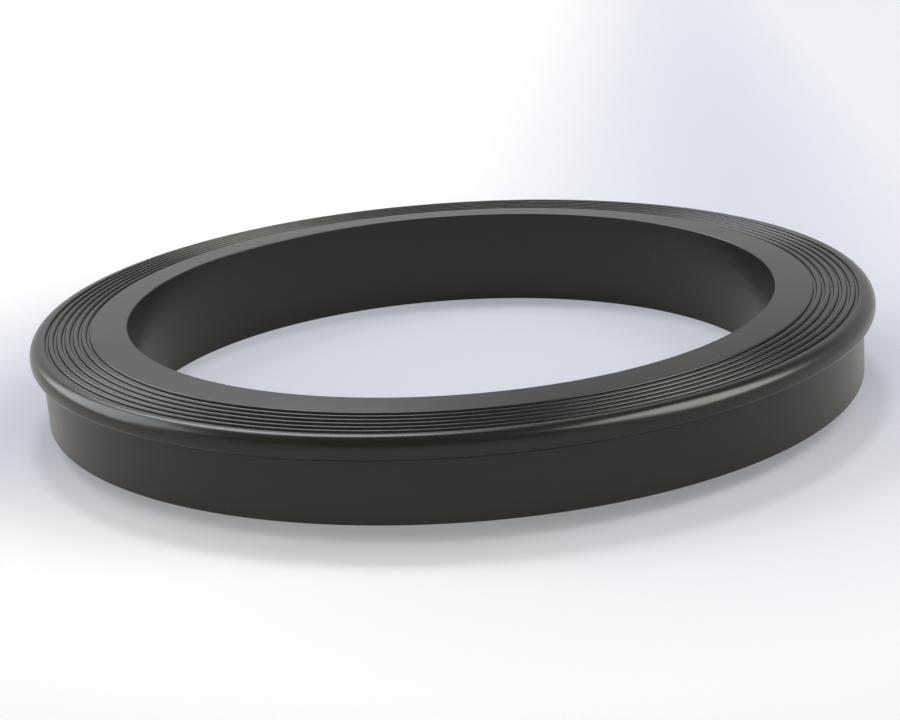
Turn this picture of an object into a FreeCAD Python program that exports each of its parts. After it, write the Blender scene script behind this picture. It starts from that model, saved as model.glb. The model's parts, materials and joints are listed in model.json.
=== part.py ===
"""Union seal: a one-piece moulded rubber ring with a grooved, slightly conical sealing face.

The ring stands on its flat foot with its axis on Z. Its section, from the bore outwards, is a
thick straight wall, a smooth land and a band of concentric grooves on the sealing face, and a
rounded rim that overhangs the body. Outside the foot the bottom rises as a shallow cone.
"""
import FreeCAD, Part
import math
import os
import Sketcher

NODE = "union_seal"

# Driving sizes in millimetres, and the face's fall in degrees
SIZES = {
    "bore_diameter": 101.6,     # straight flow bore
    "height": 15.9,             # from the bottom to the crest of the bore's top edge
    "face_fall": 2.5,           # angle by which the sealing face drops towards the rim
    "inner_land": 5.8,          # smooth ring of the face, from the bore to the first groove
    "groove_count": 6,          # concentric grooves
    "groove_pitch": 1.27,       # from one groove to the next, across the face
    "groove_width": 0.54,
    "groove_depth": 0.5,        # from the face to the groove's flat floor, at its middle
    "outer_land": 2.5,          # from the last groove to the rim's widest line
    "overhang": 1.75,           # how far the rim stands out past the body
    "rim_depth": 3.85,          # from the top down to the rim's underside
    "rim_top_round": 1.9,
    "rim_low_round": 1.05,
    "ridge_bevel": 0.12,        # edges of the ridges between the grooves
    "bore_round": 0.2,          # top edge of the bore
    "foot_width": 5.8,          # flat ring of the bottom, outwards from the bore
    "foot_rise": 2.75,          # how far the conical bottom rises, from the foot to the body's side
}

# Sizes worked out from the driving ones. A round takes only a share of the wall it runs out on.
WORKED_OUT = {
    "bore_radius": "=bore_diameter / 2",
    "grooves_start": "=bore_radius + inner_land",
    "grooves_end": "=grooves_start + (groove_count - 1) * groove_pitch + groove_width",
    "rim_radius": "=grooves_end + outer_land",
    "body_radius": "=rim_radius - overhang",
    "foot_radius": "=bore_radius + foot_width",
    "rim_underside": "=height - rim_depth",
    "fall": "=face_fall * 1 deg",
    "slope": "=tan(fall)",
    "face_top": "=height - bore_round + bore_round / cos(fall) + slope * bore_round",
    "rim_wall": "=face_top - slope * (rim_radius - bore_radius) - rim_underside",
    "rim_top_radius": "=min(rim_top_round; 0.62 * rim_wall; 0.85 * outer_land)",
    "rim_low_radius": "=min(rim_low_round; 0.36 * rim_wall; 0.85 * overhang)",
    "bevel_size": "=min(ridge_bevel; 0.4 * (groove_pitch - groove_width); 0.85 * groove_depth)",
    "lid_height": "=height + 1",
}

# Two lengths nearer than this are the same length
MATCH = 0.001

# A line's or arc's start, end and centre, and the sketch's own X axis and origin
START, END, CENTRE = 1, 2, 3
AXIS, ORIGIN = -1, 1


def make_sheet(doc):
    """Put the driving sizes, and the sizes worked out from them, into a spreadsheet."""
    sheet = doc.addObject("Spreadsheet::Sheet", "Sizes")
    for row, (name, value) in enumerate({**SIZES, **WORKED_OUT}.items(), start=1):
        sheet.set("A%d" % row, name)
        sheet.set("B%d" % row, str(value))
        sheet.setAlias("B%d" % row, name)
    doc.recompute()
    return sheet


def face_height(sheet, radius):
    """Return the height of the conical face at a radius."""
    return sheet.face_top - sheet.slope * (radius - sheet.bore_radius)


class Profile:
    """A sketch on a body's upright plane: radius along X, height along Y, each size bound to the sheet."""

    def __init__(self, body, name):
        """Start the sketch on the body's own origin plane."""
        self.sketch = body.newObject("Sketcher::SketchObject", name)
        for feature in body.Origin.OriginFeatures:
            if feature.Role == "XZ_Plane":
                self.sketch.AttachmentSupport = [(feature, "")]
        self.sketch.MapMode = "FlatFace"

    def line(self, start, end):
        """Draw a line and keep it level or upright if it starts so."""
        ends = [FreeCAD.Vector(point[0], point[1], 0) for point in (start, end)]
        number = self.sketch.addGeometry(Part.LineSegment(*ends), False)
        if abs(ends[0].y - ends[1].y) < MATCH:
            self.sketch.addConstraint(Sketcher.Constraint("Horizontal", number))
        elif abs(ends[0].x - ends[1].x) < MATCH:
            self.sketch.addConstraint(Sketcher.Constraint("Vertical", number))
        return number

    def arc(self, centre, radius, first_angle, last_angle):
        """Draw an arc that turns anticlockwise between two angles in radians."""
        circle = Part.Circle(FreeCAD.Vector(centre[0], centre[1], 0), FreeCAD.Vector(0, 0, 1), radius)
        return self.sketch.addGeometry(Part.ArcOfCircle(circle, first_angle, last_angle), False)

    def join(self, kind, first, first_end, second, second_end):
        """Join two ends, as Coincident for a corner or Tangent for a smooth run."""
        self.sketch.addConstraint(Sketcher.Constraint(kind, first, first_end, second, second_end))

    def bind(self, name, constraint, value, expression):
        """Add a dimension and tie it to the sheet."""
        index = self.sketch.addConstraint(Sketcher.Constraint(*constraint, value))
        self.sketch.renameConstraint(index, name)
        self.sketch.setExpression("Constraints." + name, expression)

    def across(self, name, item, end, value, expression):
        """Set a point's distance from the axis of the ring."""
        self.bind(name, ("DistanceX", AXIS, ORIGIN, item, end), value, expression)

    def up(self, name, item, end, value, expression):
        """Set a point's height above the bottom."""
        self.bind(name, ("DistanceY", AXIS, ORIGIN, item, end), value, expression)


def draw_section(body, sheet):
    """Sketch half of the ring's section without its grooves, and turn it round the axis."""
    profile = Profile(body, "SectionSketch")
    bore, foot, wall, rim = sheet.bore_radius, sheet.foot_radius, sheet.body_radius, sheet.rim_radius
    rise, under, fall = sheet.foot_rise, sheet.rim_underside, math.radians(sheet.face_fall)
    low, top, inner = sheet.rim_low_radius, sheet.rim_top_radius, sheet.bore_round
    face_normal = math.pi / 2 - fall
    top_centre = (rim - top, face_height(sheet, rim - top) - top / math.cos(fall))
    inner_centre = (bore + inner, sheet.height - inner)

    bottom = profile.line((bore, 0), (foot, 0))
    cone = profile.line((foot, 0), (wall, rise))
    side = profile.line((wall, rise), (wall, under))
    shelf = profile.line((wall, under), (rim - low, under))
    low_arc = profile.arc((rim - low, under + low), low, -math.pi / 2, 0)
    edge = profile.line((rim, under + low), (rim, top_centre[1]))
    top_arc = profile.arc(top_centre, top, 0, face_normal)
    face = profile.line((top_centre[0] + top * math.sin(fall), top_centre[1] + top * math.cos(fall)),
                        (inner_centre[0] + inner * math.sin(fall), inner_centre[1] + inner * math.cos(fall)))
    inner_arc = profile.arc(inner_centre, inner, face_normal, math.pi)
    inside = profile.line((bore, inner_centre[1]), (bore, 0))

    profile.join("Coincident", bottom, END, cone, START)
    profile.join("Coincident", cone, END, side, START)
    profile.join("Coincident", side, END, shelf, START)
    profile.join("Tangent", shelf, END, low_arc, START)
    profile.join("Tangent", low_arc, END, edge, START)
    profile.join("Tangent", edge, END, top_arc, START)
    profile.join("Tangent", top_arc, END, face, START)
    profile.join("Tangent", face, END, inner_arc, START)
    profile.join("Tangent", inner_arc, END, inside, START)
    profile.join("Coincident", inside, END, bottom, START)

    profile.sketch.addConstraint(Sketcher.Constraint("PointOnObject", bottom, START, AXIS))
    profile.across("Bore", bottom, START, bore, "Sizes.bore_radius")
    profile.across("Foot", bottom, END, foot, "Sizes.foot_radius")
    profile.across("Wall", side, START, wall, "Sizes.body_radius")
    profile.up("Rise", side, START, rise, "Sizes.foot_rise")
    profile.across("Rim", edge, START, rim, "Sizes.rim_radius")
    profile.up("Underside", shelf, START, under, "Sizes.rim_underside")
    profile.up("BoreEdge", inner_arc, CENTRE, inner_centre[1], "Sizes.height - Sizes.bore_round")
    profile.up("RimTop", top_arc, CENTRE, top_centre[1],
               "Sizes.face_top - Sizes.slope * (Sizes.rim_radius - Sizes.rim_top_radius - Sizes.bore_radius)"
               " - Sizes.rim_top_radius / cos(Sizes.fall)")
    profile.bind("LowRound", ("Radius", low_arc), low, "Sizes.rim_low_radius")
    profile.bind("TopRound", ("Radius", top_arc), top, "Sizes.rim_top_radius")
    profile.bind("BoreRound", ("Radius", inner_arc), inner, "Sizes.bore_round")

    ring = body.newObject("PartDesign::Revolution", "Ring")
    ring.Profile = profile.sketch
    ring.ReferenceAxis = (profile.sketch, ["V_Axis"])
    ring.Angle = 360.0
    return ring


def draw_groove(profile, sheet, number):
    """Draw the profile that one groove is cut with: flat floor, upright walls and bevelled ridge edges."""
    near = sheet.grooves_start + number * sheet.groove_pitch
    far = near + sheet.groove_width
    near_top, far_top = near - sheet.bevel_size, far + sheet.bevel_size
    floor = face_height(sheet, (near + far) / 2) - sheet.groove_depth
    corners = {
        "NearFloor": (near, floor),
        "FarFloor": (far, floor),
        "FarWall": (far, face_height(sheet, far) - sheet.bevel_size),
        "FarEdge": (far_top, face_height(sheet, far_top)),
        "FarLid": (far_top, sheet.lid_height),
        "NearLid": (near_top, sheet.lid_height),
        "NearEdge": (near_top, face_height(sheet, near_top)),
        "NearWall": (near, face_height(sheet, near) - sheet.bevel_size),
    }
    points = list(corners.values())
    lines = [profile.line(start, end) for start, end in zip(points, points[1:] + points[:1])]
    for this_line, next_line in zip(lines, lines[1:] + lines[:1]):
        profile.join("Coincident", this_line, END, next_line, START)

    start_of = dict(zip(corners, lines))
    tag = str(number + 1)
    place = "Sizes.grooves_start + %d * Sizes.groove_pitch" % number
    far_place = place + " + Sizes.groove_width"
    face = "Sizes.face_top - Sizes.slope * (%s - Sizes.bore_radius)"
    profile.across("Near" + tag, start_of["NearFloor"], START, near, place)
    profile.across("Far" + tag, start_of["FarFloor"], START, far, far_place)
    profile.across("FarTop" + tag, start_of["FarEdge"], START, far_top, far_place + " + Sizes.bevel_size")
    profile.across("NearTop" + tag, start_of["NearLid"], START, near_top, place + " - Sizes.bevel_size")
    profile.up("Floor" + tag, start_of["NearFloor"], START, floor,
               face % (place + " + Sizes.groove_width / 2") + " - Sizes.groove_depth")
    profile.up("Lid" + tag, start_of["FarLid"], START, sheet.lid_height, "Sizes.lid_height")
    profile.up("FarWall" + tag, start_of["FarWall"], START, corners["FarWall"][1],
               face % far_place + " - Sizes.bevel_size")
    profile.up("FarEdge" + tag, start_of["FarEdge"], START, corners["FarEdge"][1],
               face % (far_place + " + Sizes.bevel_size"))
    profile.up("NearEdge" + tag, start_of["NearEdge"], START, corners["NearEdge"][1],
               face % (place + " - Sizes.bevel_size"))
    profile.up("NearWall" + tag, start_of["NearWall"], START, corners["NearWall"][1],
               face % place + " - Sizes.bevel_size")


def cut_grooves(body, sheet):
    """Turn the profiles of all the grooves out of the sealing face."""
    profile = Profile(body, "GrooveSketch")
    for number in range(int(round(sheet.groove_count))):
        draw_groove(profile, sheet, number)
    grooves = body.newObject("PartDesign::Groove", "FaceGrooves")
    grooves.Profile = profile.sketch
    grooves.ReferenceAxis = (profile.sketch, ["V_Axis"])
    grooves.Angle = 360.0
    return grooves


def make_seal(doc, sheet):
    """Build the seal as one body: the ring, then the grooves of its face."""
    body = doc.addObject("PartDesign::Body", "UnionSeal")
    body.Label = NODE
    ring = draw_section(body, sheet)
    doc.recompute()
    whole_volume = ring.Shape.Volume
    grooves = cut_grooves(body, sheet)
    doc.recompute()
    body.Tip = grooves
    if not grooves.Shape.Volume < whole_volume:
        raise ValueError("the grooves take nothing away")
    return body


def check_document(doc):
    """Stop if any object of the document failed to build."""
    for item in doc.Objects:
        if "Invalid" in item.State or "Error" in item.State:
            raise ValueError("%s did not build: %s" % (item.Name, item.State))


def write_body(body):
    """Check the body's shape and write it to its own file."""
    shape = body.Shape
    if shape.isNull() or not shape.isValid() or len(shape.Solids) != 1:
        raise ValueError(body.Label + " is not one valid solid")
    shape.exportStep(os.path.join("parts", body.Label + ".step"))
    box = shape.optimalBoundingBox(False, False)
    print("%s: %.1f cubic mm, %.3f x %.3f x %.3f mm" % (
        body.Label, shape.Volume, box.XLength, box.YLength, box.ZLength))


def main():
    """Build the document, check it and write the part."""
    os.makedirs("parts", exist_ok=True)
    doc = FreeCAD.newDocument("UnionSeal")
    sheet = make_sheet(doc)
    seal = make_seal(doc, sheet)
    check_document(doc)
    write_body(seal)


main()
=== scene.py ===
"""Dresses the moulded union seal: one black rubber ring, turned from one section, in a pale studio."""
import json
import logging
import math
from dataclasses import dataclass
from enum import Enum

import bmesh
import bpy
from mathutils import Matrix, Vector


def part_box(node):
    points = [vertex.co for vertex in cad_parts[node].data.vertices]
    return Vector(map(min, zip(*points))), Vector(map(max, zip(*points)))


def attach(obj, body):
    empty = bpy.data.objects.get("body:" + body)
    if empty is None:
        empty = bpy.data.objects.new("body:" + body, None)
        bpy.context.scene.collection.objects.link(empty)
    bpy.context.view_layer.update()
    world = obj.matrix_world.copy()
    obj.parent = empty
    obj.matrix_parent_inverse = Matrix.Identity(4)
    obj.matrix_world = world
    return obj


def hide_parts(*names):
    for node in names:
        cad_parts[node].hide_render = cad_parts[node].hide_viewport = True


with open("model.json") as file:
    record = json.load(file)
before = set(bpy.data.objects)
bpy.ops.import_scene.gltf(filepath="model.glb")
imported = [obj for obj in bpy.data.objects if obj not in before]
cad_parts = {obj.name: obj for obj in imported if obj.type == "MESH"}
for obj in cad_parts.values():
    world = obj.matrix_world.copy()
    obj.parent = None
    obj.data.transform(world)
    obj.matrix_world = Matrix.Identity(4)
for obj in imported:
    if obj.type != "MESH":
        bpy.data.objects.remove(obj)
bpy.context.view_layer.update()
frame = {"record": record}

log = logging.getLogger("union_seal")

MM = 0.001
WELD = 0.001 * MM
NODE = "union_seal"

Colour = tuple[float, float, float]
Span = tuple[float, float]
Tree = bpy.types.NodeTree
Node = bpy.types.Node
Socket = bpy.types.NodeSocket
Number = Socket | float
Value = Number | str | tuple[float, ...]

WHITE: Colour = (1.0, 1.0, 1.0)
RISING: Span = (0.0, 1.0)
FALLING: Span = (1.0, 0.0)


def mount_radius(name: str) -> float:
    """Read the radius of one of the part's round mounts.

    Args:
        name: The mount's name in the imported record.

    Returns:
        The radius in metres.
    """
    mounts = {mount["name"]: mount for mount in frame["record"]["mounts"]}
    return mounts[name]["dims"]["r_mm"] * MM


class LampUse(Enum):
    """What a lamp is there for."""

    SHADE = "lights the set and casts its shadow, without a mirror image in the rubber"
    MIRROR = "is only mirrored in the rubber"


class NodeBench:
    """Adds and wires nodes in one node tree."""

    def __init__(self, tree: Tree) -> None:
        """Keep the tree that the nodes go into."""
        self.tree = tree

    def add(self, kind: str, settings: dict[str, object] | None = None, **inputs: Value) -> Node:
        """Add a node, and set its properties and its input sockets.

        Args:
            kind: The node's class name.
            settings: Values of the node's own properties, such as its operation.
            inputs: A value or an output socket for each input, by the input's name, or by its
                place as i0, i1 and so on.

        Returns:
            The new node.
        """
        node = self.tree.nodes.new(kind)
        for name, value in (settings or {}).items():
            setattr(node, name, value)
        for name, value in inputs.items():
            by_place = name[0] == "i" and name[1:].isdigit()
            self.feed(node.inputs[int(name[1:]) if by_place else name], value)
        return node

    def feed(self, socket: Socket, value: Value) -> None:
        """Link an output socket to an input socket, or set the input's own value.

        Args:
            socket: The input socket.
            value: The output socket, or the value.
        """
        if isinstance(value, Socket):
            self.tree.links.new(value, socket)
        else:
            socket.default_value = value

    def math(self, operation: str, *values: Number) -> Socket:
        """Work out one number, such as ADD or MULTIPLY, and return its socket."""
        inputs = {"i%d" % place: value for place, value in enumerate(values)}
        return self.add("ShaderNodeMath", {"operation": operation}, **inputs).outputs[0]

    def fade(self, value: Socket, span: Span, ends: Span) -> Socket:
        """Fade softly from one number to another while a value crosses a span.

        Args:
            value: The value that is looked at.
            span: The value at the fade's start and at its end.
            ends: The numbers that are put out at and beyond the start and the end.

        Returns:
            The socket of the faded number.
        """
        return self.add("ShaderNodeMapRange", {"interpolation_type": "SMOOTHSTEP"}, Value=value,
                        i1=span[0], i2=span[1], i3=ends[0], i4=ends[1]).outputs[0]

    def blend(self, mask: Socket, low: Socket | Colour, high: Colour) -> Socket:
        """Blend two colours by a mask.

        Args:
            mask: The mask, from 0 for the low colour to 1 for the high one.
            low: A colour, or the socket of one.
            high: A colour.

        Returns:
            The socket of the blended colour.
        """
        start = low if isinstance(low, Socket) else (*low, 1.0)
        return self.add("ShaderNodeMix", {"data_type": "RGBA"}, i0=mask, i6=start,
                        i7=(*high, 1.0)).outputs[2]


@dataclass(frozen=True)
class SectionCorner:
    """A corner of the ring's section and the round that softens it, all in metres."""

    radius: float
    height: float
    rounding: float
    steps: int


@dataclass
class SealRing:
    """The ring: one section turned round the axis, with grooves repeated across its sealing face."""

    bore_radius: float
    body_radius: float
    rim_radius: float
    height: float
    face_fall: float = math.radians(2.5)
    inner_land: float = 5.8 * MM
    groove_count: int = 6
    groove_pitch: float = 1.27 * MM
    groove_width: float = 0.54 * MM
    groove_depth: float = 0.5 * MM
    rim_depth: float = 3.85 * MM
    rim_top_round: float = 1.9 * MM
    rim_low_round: float = 1.05 * MM
    bore_round: float = 0.2 * MM
    ridge_round: float = 0.34 * MM
    groove_root_round: float = 0.18 * MM
    shelf_root_round: float = 0.3 * MM
    edge_round: float = 0.15 * MM
    foot_width: float = 5.8 * MM
    foot_rise: float = 2.75 * MM
    turns: int = 416
    large_round_steps: int = 10
    ridge_round_steps: int = 6
    small_round_steps: int = 3

    @classmethod
    def from_frame(cls) -> "SealRing":
        """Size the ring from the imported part's box and mounts.

        Returns:
            The ring with its main sizes set.
        """
        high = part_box(NODE)[1]
        return cls(mount_radius("bore"), mount_radius("body_outside"), high.x, high.z)

    @property
    def slope(self) -> float:
        """Fall of the sealing face for each metre outwards."""
        return math.tan(self.face_fall)

    @property
    def face_top(self) -> float:
        """Height at which the sealing face would meet the bore's wall if that edge were sharp."""
        above_centre = self.bore_round / math.cos(self.face_fall) + self.slope * self.bore_round
        return self.height - self.bore_round + above_centre

    @property
    def grooves_start(self) -> float:
        """Radius of the first groove's near wall."""
        return self.bore_radius + self.inner_land

    @property
    def grooves_end(self) -> float:
        """Radius of the last groove's far wall."""
        return self.grooves_start + (self.groove_count - 1) * self.groove_pitch + self.groove_width

    def face_height(self, radius: float) -> float:
        """Return the height of the sealing face at a radius."""
        return self.face_top - self.slope * (radius - self.bore_radius)

    def plain_corners(self) -> list[SectionCorner]:
        """List the section's corners without those of the grooves.

        Returns:
            The corners from the last groove's far edge, round the rim and the bottom, to the first
            groove's near edge.
        """
        rim, body, bore = self.rim_radius, self.body_radius, self.bore_radius
        under = self.height - self.rim_depth
        few, many = self.small_round_steps, self.large_round_steps
        start, end = self.grooves_start, self.grooves_end
        return [
            SectionCorner(end, self.face_height(end), self.edge_round, few),
            SectionCorner(rim, self.face_height(rim), self.rim_top_round, many),
            SectionCorner(rim, under, self.rim_low_round, many),
            SectionCorner(body, under, self.shelf_root_round, few),
            SectionCorner(body, self.foot_rise, self.edge_round, few),
            SectionCorner(bore + self.foot_width, 0.0, self.edge_round, few),
            SectionCorner(bore, 0.0, self.edge_round, few),
            SectionCorner(bore, self.face_top, self.bore_round, few),
            SectionCorner(start, self.face_height(start), self.edge_round, few),
        ]

    def section_mesh(self) -> bpy.types.Mesh:
        """Make the open outline of the plain corners, with each corner's round as an attribute.

        Returns:
            A mesh of edges in the XY plane: the distance from the bore's wall along X, and minus the
            height above the floor along Y.
        """
        corners = self.plain_corners()
        mesh = bpy.data.meshes.new("section_outline")
        points = [(corner.radius - self.bore_radius, -corner.height, 0.0) for corner in corners]
        mesh.from_pydata(points, [(place, place + 1) for place in range(len(points) - 1)], [])
        rounds = mesh.attributes.new("rounding", "FLOAT", "POINT")
        rounds.data.foreach_set("value", [corner.rounding for corner in corners])
        steps = mesh.attributes.new("steps", "INT", "POINT")
        steps.data.foreach_set("value", [corner.steps for corner in corners])
        return mesh

    def groove_inputs(self) -> dict[str, float]:
        """Give the sizes that the ring's node tree takes.

        Returns:
            Each size, by the name of the tree's input.
        """
        return {
            "Groove Count": self.groove_count,
            "First Groove": self.inner_land,
            "Groove Pitch": self.groove_pitch,
            "Groove Width": self.groove_width,
            "Groove Depth": self.groove_depth,
            "Face Top": self.face_top,
            "Face Slope": self.slope,
            "Ridge Round": self.ridge_round,
            "Root Round": self.groove_root_round,
            "Ridge Steps": self.ridge_round_steps,
            "Root Steps": self.small_round_steps,
            "Bore Radius": self.bore_radius,
            "Turns": self.turns,
        }

    def build(self, material: bpy.types.Material) -> bpy.types.Object:
        """Turn the section into the ring's mesh.

        Args:
            material: The rubber that the ring is made of.

        Returns:
            The finished piece, at the origin, with its place in its mesh.
        """
        source = bpy.data.objects.new("ring_source", self.section_mesh())
        bpy.context.scene.collection.objects.link(source)
        tree = turned_ring_tree()
        modifier = source.modifiers.new("TurnedRing", "NODES")
        modifier.node_group = tree
        items = tree.interface.items_tree
        sockets = {item.name: item.identifier for item in items if item.in_out == "INPUT"}
        for name, value in {**self.groove_inputs(), "Material": material}.items():
            modifier[sockets[name]] = value
        shading = source.modifiers.new("FlatFacesStayFlat", "WEIGHTED_NORMAL")
        shading.mode = "FACE_AREA"
        shading.keep_sharp = False
        evaluated = source.evaluated_get(bpy.context.evaluated_depsgraph_get())
        mesh = bpy.data.meshes.new_from_object(evaluated)
        mesh.name = "seal_ring"
        bpy.data.objects.remove(source)
        ring = bpy.data.objects.new("seal_ring", mesh)
        bpy.context.scene.collection.objects.link(ring)
        return ring


def groove_points(bench: NodeBench, sizes: bpy.types.NodeOutputs) -> Socket:
    """Lay out the corners of all the grooves as one line of edges across the sealing face.

    Args:
        bench: The bench of the ring's node tree.
        sizes: The tree's named inputs.

    Returns:
        The socket of the line, with each corner's round as an attribute.
    """
    # Four corners for each groove: near edge, near root, far root, far edge
    corners = 4
    middle_corner = (corners - 1) / 2.0
    root_reach = 1.0
    half = 0.5
    index = bench.add("GeometryNodeInputIndex").outputs[0]
    number = bench.math("FLOOR", bench.math("DIVIDE", index, corners))
    corner = bench.math("MODULO", index, corners)
    on_far_side = bench.math("GREATER_THAN", corner, middle_corner)
    from_middle = bench.math("ABSOLUTE", bench.math("SUBTRACT", corner, middle_corner))
    in_root = bench.math("LESS_THAN", from_middle, root_reach)
    near = bench.math("MULTIPLY_ADD", number, sizes["Groove Pitch"], sizes["First Groove"])
    across = bench.math("MULTIPLY_ADD", on_far_side, sizes["Groove Width"], near)
    middle = bench.math("MULTIPLY_ADD", half, sizes["Groove Width"], near)
    face, face_at_middle = (
        bench.math("SUBTRACT", sizes["Face Top"], bench.math("MULTIPLY", sizes["Face Slope"], out))
        for out in (across, middle))
    floor = bench.math("SUBTRACT", face_at_middle, sizes["Groove Depth"])
    drop = bench.math("MULTIPLY", in_root, bench.math("SUBTRACT", floor, face))
    height = bench.math("ADD", face, drop)
    minus_height = bench.math("MULTIPLY", height, -1.0)
    place = bench.add("ShaderNodeCombineXYZ", i0=across, i1=minus_height).outputs[0]

    count = bench.math("MULTIPLY", sizes["Groove Count"], corners)
    line = bench.add("GeometryNodeMeshLine", Count=count).outputs[0]
    grooves = bench.add("GeometryNodeSetPosition", Geometry=line, Position=place).outputs[0]
    for name, kind, root, ridge in (
        ("rounding", "FLOAT", sizes["Root Round"], sizes["Ridge Round"]),
        ("steps", "INT", sizes["Root Steps"], sizes["Ridge Steps"]),
    ):
        value = bench.math("MULTIPLY_ADD", in_root, bench.math("SUBTRACT", root, ridge), ridge)
        grooves = bench.add("GeometryNodeStoreNamedAttribute", {"data_type": kind},
                            Geometry=grooves, Name=name, Value=value).outputs[0]
    return grooves


def turned_ring_tree() -> Tree:
    """Build the tree that repeats the grooves, rounds the section and turns it round the axis.

    Returns:
        The geometry node tree, with a named input for each size.
    """
    tree = bpy.data.node_groups.new("TurnedRing", "GeometryNodeTree")
    for kind, names in (
        ("NodeSocketGeometry", ("Geometry",)),
        ("NodeSocketInt", ("Groove Count", "Ridge Steps", "Root Steps", "Turns")),
        ("NodeSocketFloat", ("First Groove", "Groove Pitch", "Groove Width", "Groove Depth",
                             "Face Top", "Face Slope", "Ridge Round", "Root Round", "Bore Radius")),
        ("NodeSocketMaterial", ("Material",)),
    ):
        for name in names:
            tree.interface.new_socket(name, in_out="INPUT", socket_type=kind)
    tree.interface.new_socket("Geometry", in_out="OUTPUT", socket_type="NodeSocketGeometry")
    bench = NodeBench(tree)
    sizes = bench.add("NodeGroupInput").outputs

    # The plain outline ends where the grooves begin, so the two close into one section
    joined = bench.add("GeometryNodeJoinGeometry")
    tree.links.new(groove_points(bench, sizes), joined.inputs[0])
    tree.links.new(sizes["Geometry"], joined.inputs[0])
    welded = bench.add("GeometryNodeMergeByDistance", Geometry=joined.outputs[0],
                       Distance=WELD).outputs[0]
    outline = bench.add("GeometryNodeMeshToCurve", Mesh=welded).outputs[0]
    radius, steps = (
        bench.add("GeometryNodeInputNamedAttribute", {"data_type": kind}, Name=name).outputs[0]
        for name, kind in (("rounding", "FLOAT"), ("steps", "INT")))
    section = bench.add("GeometryNodeFilletCurve", {"mode": "POLY"}, Curve=outline,
                        Radius=radius, Count=steps)
    section.inputs["Limit Radius"].default_value = True

    # Turned round the axis, then welded where two rounds meet in one point
    circle = bench.add("GeometryNodeCurvePrimitiveCircle", {"mode": "RADIUS"},
                       Resolution=sizes["Turns"], Radius=sizes["Bore Radius"]).outputs[0]
    upright = bench.add("GeometryNodeSetCurveNormal", {"mode": "Z_UP"}, Curve=circle).outputs[0]
    ring = bench.add("GeometryNodeCurveToMesh", i0=upright)
    bench.feed(ring.inputs["Profile Curve"], section.outputs[0])
    whole = bench.add("GeometryNodeMergeByDistance", Geometry=ring.outputs[0],
                      Distance=WELD).outputs[0]
    smooth = bench.add("GeometryNodeSetShadeSmooth", i0=whole).outputs[0]
    real = bench.add("GeometryNodeRealizeInstances", i0=smooth).outputs[0]
    dressed = bench.add("GeometryNodeSetMaterial", Geometry=real,
                        Material=sizes["Material"]).outputs[0]
    bench.add("NodeGroupOutput", i0=dressed)
    return tree


def grain_group() -> Tree:
    """Build the shader group that gives a surface its fine grain and its faint, broad mottling.

    Returns:
        The group, with a place and two scales as inputs, and a mottling mask and a height as outputs.
    """
    tree = bpy.data.node_groups.new("SurfaceGrain", "ShaderNodeTree")
    tree.interface.new_socket("Vector", in_out="INPUT", socket_type="NodeSocketVector")
    for name in ("Grain Scale", "Mottle Scale"):
        tree.interface.new_socket(name, in_out="INPUT", socket_type="NodeSocketFloat")
    for name in ("Mottle", "Height"):
        tree.interface.new_socket(name, in_out="OUTPUT", socket_type="NodeSocketFloat")
    bench = NodeBench(tree)
    given = bench.add("NodeGroupInput").outputs
    mottle, grain = (
        bench.add("ShaderNodeTexNoise", Vector=given["Vector"], Scale=given[scale],
                  Detail=detail).outputs[0]
        for scale, detail in (("Mottle Scale", 3.0), ("Grain Scale", 2.0)))
    bench.add("NodeGroupOutput", i0=mottle, i1=grain)
    return tree


@dataclass(frozen=True)
class Grain:
    """How coarse and deep a surface's fine grain is, and how broad its mottling, where it has any."""

    scale: float
    depth: float
    mottle_scale: float = 0.0

    def lay(self, bench: NodeBench, group: Tree, place: Socket) -> tuple[Socket, Socket]:
        """Place the shared group in a material.

        Args:
            bench: The bench of the material's node tree.
            group: The shared group for fine grain and mottling.
            place: The place on the surface.

        Returns:
            The sockets of the mottling mask and of the grained normal.
        """
        surface = bench.add("ShaderNodeGroup", {"node_tree": group}, Vector=place)
        bench.feed(surface.inputs["Grain Scale"], self.scale)
        bench.feed(surface.inputs["Mottle Scale"], self.mottle_scale)
        bump = bench.add("ShaderNodeBump", Height=surface.outputs["Height"], Distance=self.depth)
        return surface.outputs["Mottle"], bump.outputs[0]


@dataclass(frozen=True)
class RubberFinish:
    """Moulded black rubber with a soft satin sheen."""

    name: str = "black_rubber"
    low_colour: Colour = (0.0148, 0.0137, 0.0105)
    high_colour: Colour = (0.0192, 0.0178, 0.0139)
    smoothest: float = 0.21
    roughest: float = 0.27
    specular: float = 0.45
    grain: Grain = Grain(scale=9000.0, depth=0.004 * MM, mottle_scale=90.0)

    def material(self, group: Tree) -> bpy.types.Material:
        """Make the rubber's material.

        Args:
            group: The shared group for fine grain and mottling.

        Returns:
            The finished material.
        """
        material = bpy.data.materials.new(self.name)
        material.use_nodes = True
        bench = NodeBench(material.node_tree)
        shader = material.node_tree.nodes["Principled BSDF"]
        place = bench.add("ShaderNodeTexCoord").outputs["Object"]
        mottle, normal = self.grain.lay(bench, group, place)
        colour = bench.blend(mottle, self.low_colour, self.high_colour)
        spread = self.roughest - self.smoothest
        roughness = bench.math("MULTIPLY_ADD", mottle, spread, self.smoothest)
        bench.feed(shader.inputs["Base Color"], colour)
        bench.feed(shader.inputs["Roughness"], roughness)
        bench.feed(shader.inputs["Normal"], normal)
        shader.inputs["Specular IOR Level"].default_value = self.specular
        return material


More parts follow.
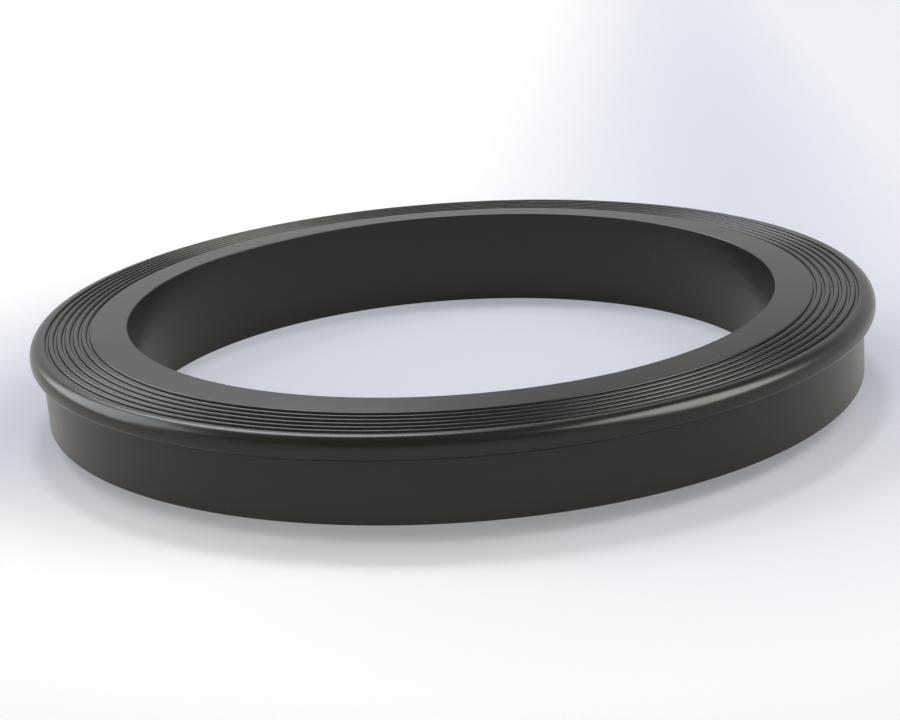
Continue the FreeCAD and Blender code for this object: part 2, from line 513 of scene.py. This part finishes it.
@dataclass(frozen=True)
class FloorFinish:
    """Matt pale floor, white at the left, with painted blue grey shade behind, beside and inside the
    ring.

    Places, widths and radii are in metres from the middle of the ring, X to the right and Y backwards.
    """

    name: str = "studio_floor"
    white: Colour = (0.8, 0.8, 0.8)
    # Painted shade: the blue grey colour that stands in for the shade round the ring
    painted_shade: Colour = (0.553, 0.574, 0.645)
    # Painted shade: a slanting band behind the ring
    band_centre: float = 0.0511
    band_slant: float = 0.1
    band_half_width: float = 0.09
    band_narrowing: float = 0.05
    narrowest_band: float = 0.02
    band_front: Span = (-0.155, 0.02)
    band_back: Span = (0.12, 0.5)
    band_far_shade: float = 0.75
    # Painted shade to the right of the band
    right_shade_edge: Span = (-0.01, 0.03)
    right_shade: float = 0.55
    right_shade_front: Span = (-0.075, -0.02)
    # Painted shade: a pool round and inside the ring
    pool_radii: Span = (0.065, 0.13)
    pool_front: Span = (-0.071, -0.004)
    # Painted shade: a faint darker blue grey close to the camera
    near_radii: Span = (0.095, 0.125)
    near_front: Span = (-0.075, -0.05)
    near_shade: float = 0.25
    # Painted shade in reflections: the floor's colour as the rubber mirrors it, darker and warmer than
    # its lit colour
    mirrored: Colour = (0.58, 0.566, 0.544)
    seen_lift: float = 0.362
    grain: Grain = Grain(scale=900.0, depth=0.01 * MM)

    def painted_shade_mask(self, bench: NodeBench, place: Socket) -> Socket:
        """Work out how much painted blue grey shade the floor gets at each place.

        Args:
            bench: The bench of the floor's node tree.
            place: The place on the floor.

        Returns:
            The socket of a mask from 0, white, to 1, blue grey.
        """
        across, back = bench.add("ShaderNodeSeparateXYZ", i0=place).outputs[:2]
        out = bench.add("ShaderNodeVectorMath", {"operation": "LENGTH"}, i0=place).outputs["Value"]

        # A slanting band of painted shade behind the ring, narrower and fainter far away
        middle = bench.math("MULTIPLY_ADD", back, self.band_slant, self.band_centre)
        beside = bench.math("SUBTRACT", across, middle)
        narrowed = bench.math("MULTIPLY_ADD", back, -self.band_narrowing, self.band_half_width)
        half_width = bench.math("MAXIMUM", self.narrowest_band, narrowed)
        off_centre = bench.math("DIVIDE", bench.math("ABSOLUTE", beside), half_width)
        along = bench.math("MULTIPLY", bench.fade(back, self.band_front, RISING),
                           bench.fade(back, self.band_back, (1.0, self.band_far_shade)))
        band = bench.math("MULTIPLY", bench.fade(off_centre, RISING, FALLING), along)

        # Painted shade: a flat blue grey to the right, a pool of shade round the ring and a faint shade
        # close to the camera
        right = bench.math("MULTIPLY", bench.fade(beside, self.right_shade_edge, (0.0, self.right_shade)),
                           bench.fade(back, self.right_shade_front, RISING))
        pool = bench.math("MULTIPLY", bench.fade(out, self.pool_radii, FALLING),
                          bench.fade(back, self.pool_front, RISING))
        near = bench.math("MULTIPLY", bench.fade(out, self.near_radii, (0.0, self.near_shade)),
                          bench.fade(back, self.near_front, FALLING))
        return bench.math("MAXIMUM", bench.math("MAXIMUM", pool, near),
                          bench.math("MAXIMUM", band, right))

    def material(self, group: Tree) -> bpy.types.Material:
        """Make the floor's material, which is clear when it is seen from below.

        Args:
            group: The shared group for fine grain and mottling.

        Returns:
            The finished material.
        """
        material = bpy.data.materials.new(self.name)
        material.use_nodes = True
        material.node_tree.nodes.clear()
        bench = NodeBench(material.node_tree)
        place = bench.add("ShaderNodeTexCoord").outputs["Object"]
        rays = bench.add("ShaderNodeLightPath").outputs
        # Painted shade blended into the floor's white by the mask
        with_painted_shade = bench.blend(self.painted_shade_mask(bench, place), self.white, self.painted_shade)
        # Glossy rays see the painted darker mirror colour instead of the floor's lit colour
        colour = bench.blend(rays["Is Glossy Ray"], with_painted_shade, self.mirrored)
        normal = self.grain.lay(bench, group, place)[1]
        matt = bench.add("ShaderNodeBsdfDiffuse", Color=colour, Normal=normal).outputs[0]
        mirrored = bench.math("MAXIMUM", rays["Is Glossy Ray"], rays["Is Transmission Ray"])
        seen = bench.math("MAXIMUM", rays["Is Camera Ray"], mirrored)
        glow = bench.add("ShaderNodeEmission", Color=colour,
                         Strength=bench.math("MULTIPLY", seen, self.seen_lift)).outputs[0]
        lit = bench.add("ShaderNodeAddShader", i0=matt, i1=glow).outputs[0]
        below = bench.add("ShaderNodeNewGeometry").outputs["Backfacing"]
        clear = bench.add("ShaderNodeBsdfTransparent").outputs[0]
        mixed = bench.add("ShaderNodeMixShader", i0=below, i1=lit, i2=clear).outputs[0]
        bench.add("ShaderNodeOutputMaterial", Surface=mixed)
        return material


@dataclass(frozen=True)
class Softbox:
    """A rectangular soft lamp that faces the ring from a distance, with its angles in degrees."""

    name: str
    use: LampUse
    azimuth: float
    elevation: float
    wide: float
    tall: float
    radiance: float
    colour: Colour = WHITE
    distance: float = 1.6

    def side(self, angle: float) -> float:
        """Return the length in metres that fills an angle seen from the ring."""
        return 2.0 * self.distance * math.tan(math.radians(angle) / 2.0)

    def build(self) -> bpy.types.Object:
        """Make the lamp and aim it at the ring.

        Returns:
            The lamp's object.
        """
        data = bpy.data.lights.new(self.name, "AREA")
        data.shape = "RECTANGLE"
        data.size, data.size_y = self.side(self.wide), self.side(self.tall)
        data.energy = self.radiance * math.pi * self.side(self.wide) * self.side(self.tall)
        data.color = self.colour
        lamp = bpy.data.objects.new(self.name, data)
        turn, rise = math.radians(self.azimuth), math.radians(self.elevation)
        lamp.location = self.distance * Vector((
            math.cos(turn) * math.cos(rise), math.sin(turn) * math.cos(rise), math.sin(rise)))
        lamp.rotation_euler = lamp.location.to_track_quat("Z", "Y").to_euler()
        lamp.visible_camera = False
        lamp.visible_glossy = self.use is LampUse.MIRROR
        lamp.visible_diffuse = self.use is LampUse.SHADE
        bpy.context.scene.collection.objects.link(lamp)
        return lamp


@dataclass
class Studio:
    """The pale floor, the soft lamps and the even light around them.

    The even light fades from the horizon's to the overhead one between two elevations in degrees.
    """

    floor_radius: float = 6.0
    floor_corners: int = 96
    horizon_light: float = 0.63
    overhead_light: float = 0.1
    fading: Span = (13.0, 47.0)
    light_colour: Colour = WHITE
    lamps: tuple[Softbox, ...] = (
        Softbox("top_softbox", LampUse.SHADE, azimuth=94.0, elevation=69.0,
                wide=11.0, tall=11.0, radiance=19.0),
        Softbox("front_softbox", LampUse.SHADE, azimuth=270.0, elevation=55.0,
                wide=50.0, tall=50.0, radiance=0.7),
        Softbox("left_softbox", LampUse.SHADE, azimuth=168.0, elevation=32.0,
                wide=36.0, tall=30.0, radiance=1.65, colour=(1.0, 0.99, 0.98)),
        Softbox("back_left_softbox", LampUse.SHADE, azimuth=137.0, elevation=50.0,
                wide=18.0, tall=16.0, radiance=5.3),
        Softbox("right_softbox", LampUse.SHADE, azimuth=6.0, elevation=46.0,
                wide=28.0, tall=28.0, radiance=3.3, colour=(1.0, 0.99, 0.97)),
        Softbox("right_card", LampUse.MIRROR, azimuth=352.0, elevation=46.0,
                wide=37.0, tall=44.0, radiance=6.8, colour=(1.0, 0.95, 0.86)),
        Softbox("left_card", LampUse.MIRROR, azimuth=155.0, elevation=30.0,
                wide=44.0, tall=36.0, radiance=3.4, colour=(0.95, 0.98, 1.0)),
        Softbox("back_card", LampUse.MIRROR, azimuth=105.0, elevation=41.0,
                wide=22.0, tall=20.0, radiance=5.0, colour=(0.88, 0.95, 1.0)),
    )

    def floor(self, group: Tree) -> bpy.types.Object:
        """Make the round floor under the ring.

        Args:
            group: The shared group for fine grain and mottling.

        Returns:
            The floor's object.
        """
        mesh = bpy.data.meshes.new("floor")
        work = bmesh.new()
        bmesh.ops.create_circle(work, cap_ends=True, radius=self.floor_radius,
                                segments=self.floor_corners)
        work.to_mesh(mesh)
        work.free()
        mesh.materials.append(FloorFinish().material(group))
        floor = bpy.data.objects.new("floor", mesh)
        bpy.context.scene.collection.objects.link(floor)
        return floor

    def surroundings(self) -> bpy.types.World:
        """Make the light around the set: bright near the horizon and dim overhead.

        Returns:
            The scene's world, which the camera sees as plain white.
        """
        world = bpy.data.worlds.new("studio_light")
        world.use_nodes = True
        world.node_tree.nodes.clear()
        bench = NodeBench(world.node_tree)
        direction = bench.add("ShaderNodeTexCoord").outputs["Generated"]
        height = bench.add("ShaderNodeSeparateXYZ", i0=direction).outputs[2]
        span = tuple(math.sin(math.radians(elevation)) for elevation in self.fading)
        strength = bench.fade(height, span, (self.horizon_light, self.overhead_light))
        seen = bench.add("ShaderNodeLightPath").outputs["Is Camera Ray"]
        glow = bench.add("ShaderNodeBackground", Color=(*self.light_colour, 1.0),
                         Strength=bench.math("MAXIMUM", strength, seen)).outputs[0]
        bench.add("ShaderNodeOutputWorld", Surface=glow)
        bpy.context.scene.world = world
        return world

    def build(self, group: Tree) -> list[bpy.types.Object]:
        """Make the floor, the surroundings and the lamps.

        Args:
            group: The shared group for fine grain and mottling.

        Returns:
            The floor and the lamps.
        """
        self.surroundings()
        return [self.floor(group), *(lamp.build() for lamp in self.lamps)]


@dataclass(frozen=True)
class StudioCamera:
    """The camera, in front of the ring and a little above it, turned slightly off level."""

    place: tuple[float, float, float] = (0.0, -0.31149, 0.10354)
    turn: float = math.radians(-0.134)
    tilt: float = math.radians(-17.607)
    roll: float = math.radians(-4.002)
    lens_mm: float = 81.73
    sensor_mm: float = 36.0

    def build(self) -> bpy.types.Object:
        """Make the camera and make it the scene's own.

        Returns:
            The camera's object.
        """
        ahead = Vector((math.sin(self.turn) * math.cos(self.tilt),
                        math.cos(self.turn) * math.cos(self.tilt), math.sin(self.tilt)))
        level = Vector((math.cos(self.turn), -math.sin(self.turn), 0.0))
        above = level.cross(ahead)
        right = math.cos(self.roll) * level + math.sin(self.roll) * above
        up = math.cos(self.roll) * above - math.sin(self.roll) * level
        data = bpy.data.cameras.new("photo_camera")
        data.lens = self.lens_mm
        data.sensor_fit = "HORIZONTAL"
        data.sensor_width = self.sensor_mm
        camera = bpy.data.objects.new("photo_camera", data)
        facing = Matrix((right, up, -ahead)).transposed().to_4x4()
        camera.matrix_world = Matrix.Translation(self.place) @ facing
        bpy.context.scene.collection.objects.link(camera)
        bpy.context.scene.camera = camera
        return camera


def main() -> None:
    """Build the ring, then the studio and the camera, and report each piece."""
    logging.basicConfig(level=logging.INFO, format="%(message)s")
    bpy.context.scene.view_settings.view_transform = "Standard"
    group = grain_group()
    ring = SealRing.from_frame().build(RubberFinish().material(group))
    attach(ring, "root")
    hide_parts(NODE)
    log.info("%s: %d faces", ring.name, len(ring.data.polygons))
    for piece in (*Studio().build(group), StudioCamera().build()):
        log.info("%s: %s", piece.name, piece.type.lower())


if __name__ == "__main__":
    main()
